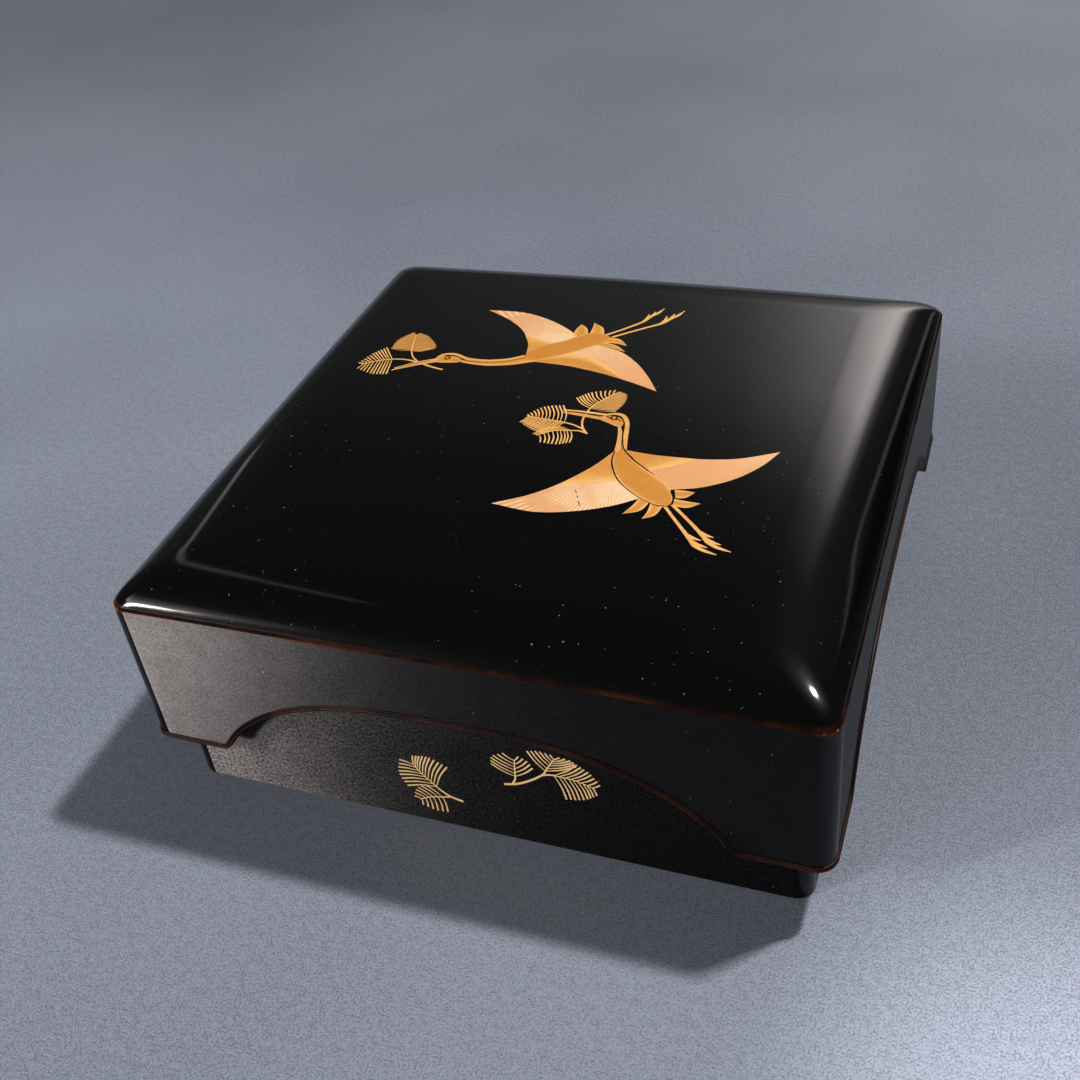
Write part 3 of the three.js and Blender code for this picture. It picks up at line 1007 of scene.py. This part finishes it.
def sprinkled(name, deep, pale, metal, feathers=False):
    """Fine metal powder laid in lacquer, from a deep to a pale shade, with feather lines on the wings."""
    paint, where = new_paint(name)
    powder = paint.noise(where, 5200, 2, 0.8)
    patchy = paint.noise(where, 420, 3, 0.6)
    tone = paint.attribute(SHADE) + (powder - 0.5) * 0.9 + (patchy - 0.5) * 0.35
    height = powder
    if feathers:
        fan = paint.node("UVMap", {"uv_map": FAN})
        line = (paint.part(fan, 0) * 104 + paint.part(fan, 1) * 0.25).math("SINE")
        groups = paint.noise(where, 140, 1, 0.5).between(0.42, 0.6)
        vane = line.between(-0.2, 0.8) * groups
        tone = tone + vane * 0.6 - 0.12
        height = height + vane * 0.8
    return paint.surface({
        "Base Color": paint.mix(tone.between(0.0, 1.0), deep, pale),
        "Metallic": metal,
        "Roughness": 0.45 + (powder - 0.5) * 0.2,
        "Normal": paint.node("Bump", {}, {"Strength": 0.25, "Distance": 0.00003, "Height": height}),
    })


def ink_lacquer():
    """The dark ground that shows as lines in the picture."""
    paint, where = new_paint("picture_dark_line")
    patchy = paint.noise(where, 900, 2, 0.5).between(0.4, 0.8)
    return paint.surface({
        "Base Color": paint.mix(patchy, (0.012, 0.006, 0.004), (0.03, 0.014, 0.008)),
        "Roughness": 0.25,
        "IOR": LACQUER_IOR,
    })


PAINTED_LIGHT_POOL_MIDDLE = (0.132, -0.112, 0)


def floor_finish():
    """A plain pale floor with a fine grain, with a painted pool of light in front to the right and painted
    dimming towards the back.
    """
    paint, where = new_paint("floor_matt")
    broad = paint.noise(where, 3, 3, 0.6)
    grain = paint.noise(where, 520, 3, 0.7)
    fine = paint.noise(where, 2300, 1, 0.5)
    mottle = (broad * 0.3 + grain * 0.2 + fine * 0.5).between(0.36, 0.64)
    tone = paint.mix(mottle, (0.120, 0.137, 0.171), (0.240, 0.265, 0.318))
    measure = {"operation": "DISTANCE"}
    # Painted light in the floor's colour: a pool of light in front to the right, and the light dimming
    # towards the back
    from_painted_pool = paint.node("VectorMath", measure, {0: where, 1: PAINTED_LIGHT_POOL_MIDDLE}, output="Value")
    far = paint.part(where, 1).between(-0.05, 0.45)
    painted_light_gain = 2.165 - from_painted_pool.between(0.015, 0.078) - far * 0.29
    return paint.surface({
        "Base Color": paint.scaled(tone, painted_light_gain),
        "Roughness": 0.65,
        "Specular IOR Level": 0.3,
    })


def paint_faces(piece, materials, choose):
    """Gives a piece its materials, and each face the one that choose names by its place and direction."""
    for material in materials:
        piece.data.materials.append(material)
    for face in piece.data.polygons:
        face.material_index = choose(face.center, face.normal)


def on_corner(centre, half, corner):
    """True on the round upright corners of a shell, whose grain has been handled away."""
    return min(abs(centre.x), abs(centre.y)) > half - corner


def lid_face_kind(centre, normal):
    """0 on the lid's outer walls, 1 on its corners, 2 inside, 3 on its bead, 4 on its top, 5 by its arris."""
    inside = inside_of(centre.x, centre.y, LID_HALF, LID_CORNER)
    if normal.z > 0 and centre.z > ARRIS_HEIGHT - 2 * NEAR:
        return 5 if inset_from_wall(centre.x, centre.y) < ARRIS_MATT else 4
    if inside > ROUGHLY_NEAR:
        return 2
    if inside < -2 * NEAR:
        return 3
    return 1 if on_corner(centre, LID_HALF, LID_CORNER) else 0


def box_face_kind(centre, normal):
    """0 on the box's outer walls and rim, 1 on its corners, 2 inside and underneath."""
    inside = inside_of(centre.x, centre.y, BOX_HALF, BOX_CORNER)
    if inside > BOX_WALL / 2 or normal.z < -0.9:
        return 2
    return 1 if on_corner(centre, BOX_HALF, BOX_CORNER) else 0


# Floor, light and camera

FLOOR_SIZE = 6
PANEL_MAP = "panel"
PANEL_DISTANCE = 2.2
ROOM_LIGHT = 0.075
ROOM_COLOUR = (0.93, 0.97, 1.0)
CAMERA_PLACE = Vector((0.09666, -0.23445, 0.22449))
CAMERA_TARGET = Vector((-0.00597, -0.00772, 0.03))
CAMERA_ROLL = math.radians(-7.627)
CAMERA_LENS = 44.63


def direction(azimuth, elevation):
    """A direction from the box, by degrees from the back towards the right, and over the floor."""
    azimuth, elevation = math.radians(azimuth), math.radians(elevation)
    flat = math.cos(elevation)
    return Vector((math.sin(azimuth) * flat, math.cos(azimuth) * flat, math.sin(elevation)))


def glow(name, strength, colour, across, upward):
    """Light of a panel. It may fade into the room's own along its width and up its height, by stops."""
    paint = Paint(bpy.data.materials.new(name))
    level = 1.0
    for stops, axis in ((across, 0), (upward, 1)):
        if stops:
            place = paint.part(paint.node("UVMap", {"uv_map": PANEL_MAP}), axis)
            greys = [(position, (value, value, value)) for position, value in stops]
            ramp = paint.node("ValToRGB", {"stops": greys}, {0: place})
            level = level * paint.node("SeparateColor", {}, {0: ramp})
    room = [ROOM_LIGHT * part / strength for part in ROOM_COLOUR]
    shown = paint.mix(level, room, colour) if across or upward else (*colour, 1)
    return paint.finish(paint.node("Emission", {}, {"Color": shown, "Strength": strength}))


def light_panel(name, corners, strength, colour=(1, 1, 1), across=None, upward=None):
    """A panel of light between four far corners: low left, low right, high right, high left."""
    mesh = bpy.data.meshes.new(name)
    mesh.from_pydata([corner * PANEL_DISTANCE for corner in corners], [], [(0, 1, 2, 3)])
    corners_of_map = ((0, 0), (1, 0), (1, 1), (0, 1))
    for loop, corner in zip(mesh.uv_layers.new(name=PANEL_MAP).data, corners_of_map):
        loop.uv = corner
    mesh.materials.append(glow(name + "_glow", strength, colour, across, upward))
    panel = add_object(name, mesh)
    panel.visible_camera = False


def square_panel(name, azimuth, elevation, width, height, *light, **fading):
    """A panel square to its direction. Its size is in degrees, seen from the box."""
    ahead = direction(azimuth, elevation)
    side = ahead.cross(Vector((0, 0, 1))).normalized() * math.tan(math.radians(width / 2))
    up = side.normalized().cross(ahead) * math.tan(math.radians(height / 2))
    corners = (ahead - side - up, ahead + side - up, ahead + side + up, ahead - side + up)
    light_panel(name, corners, *light, **fading)


def strip(name, start, end, width, strength):
    """A narrow strip of light between two directions."""
    side = start.cross(end).normalized() * math.tan(math.radians(width / 2))
    light_panel(name, (start - side, end - side, end + side, start + side), strength)


def make_lights():
    square_panel("key_light", 53.5, 63.8, 3.4, 3.4, 700, (1.0, 0.98, 0.95))
    square_panel(
        "side_light", -134, 31, 4, 10, 130, (1.0, 0.94, 0.91),
        across=((0, 0), (0.5, 1)), upward=((0, 1), (0.6, 1), (1, 0.2)),
    )
    square_panel("side_low", -144.5, 10, 11, 12, 29, (1.0, 0.95, 0.94))
    square_panel(
        "side_halo", -124, 40.5, 30, 11, 4.0, (1.0, 0.97, 0.99),
        across=((0, 0), (0.3, 0.6), (0.6, 1), (0.85, 1), (1, 0)),
        upward=((0, 1), (0.35, 0.9), (0.6, 0.35), (1, 0)),
    )
    # The light behind spreads from 45 degrees left of the back to 23 degrees right of it
    left, right, top = (math.tan(math.radians(angle)) for angle in (-45, 22.8, 44))
    corners = (left, 1, 0), (right, 1, 0), (right, 1, top), (left, 1, top)
    light_panel(
        "back_light", [Vector(corner) for corner in corners], 4.3, (1.0, 0.955, 0.94),
        across=((0, 0), (0.28, 0.015), (0.5, 0.04), (0.56, 0.085), (0.60, 0.18), (0.64, 0.34),
                (0.70, 0.53), (0.785, 0.72), (0.86, 0.95), (0.895, 0.72), (0.93, 0.12), (0.97, 0)),
        upward=((0, 0.03), (0.25, 0.3), (0.45, 0.9), (0.58, 1), (0.68, 0.92),
                (0.77, 0.5), (0.86, 0.16), (1, 0)),
    )
    square_panel(
        "dark_side", 36, 16.5, 18, 21, 0.01,
        across=((0, 0.7), (0.2, 1), (0.7, 1), (1, 0)), upward=((0, 0), (0.2, 1), (0.75, 1), (1, 0)),
    )
    for name, start, end, width, strength in (
        ("left_strip_low", (-49.5, 8.5), (-54.5, 22), 1.6, 0.7),
        ("left_strip", (-54.5, 22), (-64, 41.5), 2.2, 0.8),
        ("left_strip_high", (-64, 41.5), (-76, 56.5), 1.7, 0.8),
        ("left_strip_end", (-76, 56.5), (-83, 63.5), 1.3, 0.7),
        ("right_strip", (26.5, 8), (31, 30), 2.0, 0.5),
        ("right_strip_end", (31, 30), (41, 26), 0.9, 1.0),
    ):
        strip(name, direction(*start), direction(*end), width, strength)
    world = bpy.data.worlds.new("room")
    bpy.context.scene.world = world
    paint = Paint(world)
    room = paint.node("Background", {}, {"Color": (*ROOM_COLOUR, 1), "Strength": ROOM_LIGHT})
    paint.node("OutputWorld", {}, {0: room})


def make_floor():
    clear_selection()
    bpy.ops.mesh.primitive_plane_add(size=FLOOR_SIZE, location=(0, 0, 0))
    floor = bpy.context.object
    floor.name = "floor"
    floor.data.materials.append(floor_finish())


def make_camera():
    lens = bpy.data.cameras.new("camera")
    lens.sensor_width = 36
    lens.lens = CAMERA_LENS
    lens.clip_start = 0.01
    camera = add_object("camera", lens)
    aim = (CAMERA_TARGET - CAMERA_PLACE).to_track_quat("-Z", "Y").to_matrix().to_4x4()
    camera.matrix_world = Matrix.Translation(CAMERA_PLACE) @ aim @ Matrix.Rotation(CAMERA_ROLL, 4, "Z")
    bpy.context.scene.camera = camera


def set_print_contrast():
    """A print with deep blacks: a plain transform, a little brighter and steeper."""
    settings = bpy.context.scene.view_settings
    settings.view_transform = "Standard"
    settings.exposure = 0.36
    settings.gamma = 0.83


# The whole

PEARL = (0.66, 0.345, 0.155), (0.80, 0.61, 0.40)


def make_picture():
    """Lays the picture on the lid and the loose sprigs on the box's front."""
    gold_powder = sprinkled("gold_powder", (0.565, 0.252, 0.041), (0.79, 0.49, 0.185), 0.15)
    ground_gold = sprinkled("gold_powder_deep", (0.36, 0.17, 0.035), (0.50, 0.27, 0.070), 0.15)
    # A paler copy of the gold for the box's front: painted light, standing in for the side light that falls
    # on the sprigs there
    painted_lit_gold = sprinkled("gold_powder_painted_lit", (0.74, 0.47, 0.190), (0.95, 0.70, 0.350), 0.15)
    pearl = sprinkled("pearl_powder", *PEARL, 0.1)
    feathered = sprinkled("pearl_powder_feathered", *PEARL, 0.1, feathers=True)
    films = (
        (Film("crane_feathers_pearl", on_lid_top, PEARL_LEVEL), feathered, "pearl_picture"),
        (Film("crane_wings_pearl", on_lid_top, PEARL_LEVEL), pearl, "pearl_picture"),
        (Film("cranes_gold", on_lid_top, GOLD_LEVEL), gold_powder, "gold_picture"),
        (Film("lid_sprigs_gold", on_lid_top, GOLD_LEVEL), gold_powder, "gold_picture"),
        (Film("lid_sprigs_ground", on_lid_top, PEARL_LEVEL), ground_gold, "gold_picture"),
        (Film("crane_dark_lines", on_lid_top, INK_LEVEL), ink_lacquer(), "lid_lacquer"),
        (Film("front_sprigs_gold", on_box_front, GOLD_LEVEL), painted_lit_gold, "gold_picture"),
    )
    feathers, wings, gold, sprigs, ground, ink, front = (film for film, material, slot in films)
    near_crane(gold, feathers, wings, ink)
    far_crane(gold, feathers, wings, ink)
    lid_sprigs(sprigs, ground)
    front_sprigs(front)
    for film, material, slot in films:
        piece = film.lay()
        piece.data.materials.append(material)
        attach(piece, "root")


def make_shells():
    """Models the lid and the box, which stand for the solids of the same names."""
    corner = handled_lacquer("corner_lacquer", 0.26, 0.08)
    soft = inside_lacquer()
    bead = handled_lacquer("bead_lacquer_satin", 0.2, 0.3)
    arris = handled_lacquer("arris_lacquer_matt", 0.03, 0.3)
    lid_wall = wall_lacquer("lid_lacquer_wall", 2.0, 0.42)
    box_wall = wall_lacquer("box_lacquer_wall", 4.5, 0.47)
    lid = make_lid()
    paint_faces(lid, (lid_wall, corner, soft, bead, polished_lacquer(), arris), lid_face_kind)
    box = make_box()
    paint_faces(box, (box_wall, corner, soft), box_face_kind)
    for shell, node, slot in ((lid, "lid", "lid_lacquer"), (box, "box", "box_lacquer")):
        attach(shell, "root")
        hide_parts(node)


make_camera()
set_print_contrast()
make_floor()
make_lights()
make_shells()
make_picture()
